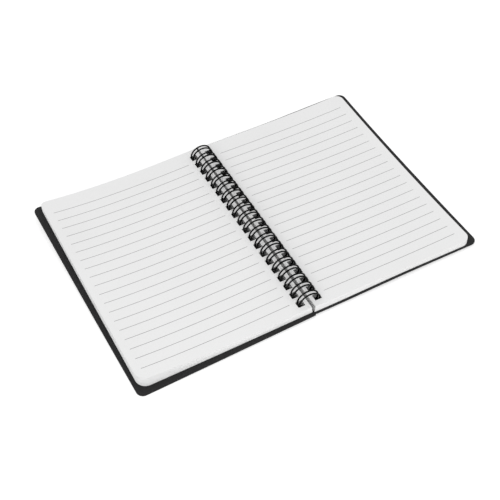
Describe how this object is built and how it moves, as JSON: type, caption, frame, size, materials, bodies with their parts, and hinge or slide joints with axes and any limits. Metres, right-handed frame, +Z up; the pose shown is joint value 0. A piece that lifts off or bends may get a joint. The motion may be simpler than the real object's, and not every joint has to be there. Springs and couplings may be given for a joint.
{
  "type": "spiral notebook",
  "caption": "Open twin-loop spiral notebook with dark grey card covers, white pages and a black wire binding, lying flat.",
  "frame": {"origin": "on the table, at the middle of the open notebook's box, straight below the axis of the loops", "axes": "+X across the open spread towards the back cover's outer edge, +Y along the spine away from the reader, +Z up from the table"},
  "size_m": [0.2639, 0.1857, 0.0161],
  "materials": {
    "cover_board": "matte",
    "page_paper": "matte",
    "black_wire": "gloss"
  },
  "bodies": {
    "back_half": {"back_cover": "cover_board", "right_pages": "page_paper"},
    "front_half": {"front_cover": "cover_board", "left_pages": "page_paper"},
    "binding": {"twin_loop_wire": "black_wire"}
  },
  "joints": [
    {"name": "front_half_turn", "type": "hinge", "parent": "back_half", "child": "front_half", "pos_m": [0, 0, 0.00815], "axis": [0, 1, 0], "range_deg": [0, 177]},
    {"name": "binding_turn", "type": "hinge", "parent": "back_half", "child": "binding", "pos_m": [0, 0, 0.00815], "axis": [0, 1, 0], "range_deg": [-10, 4]}
  ]
}
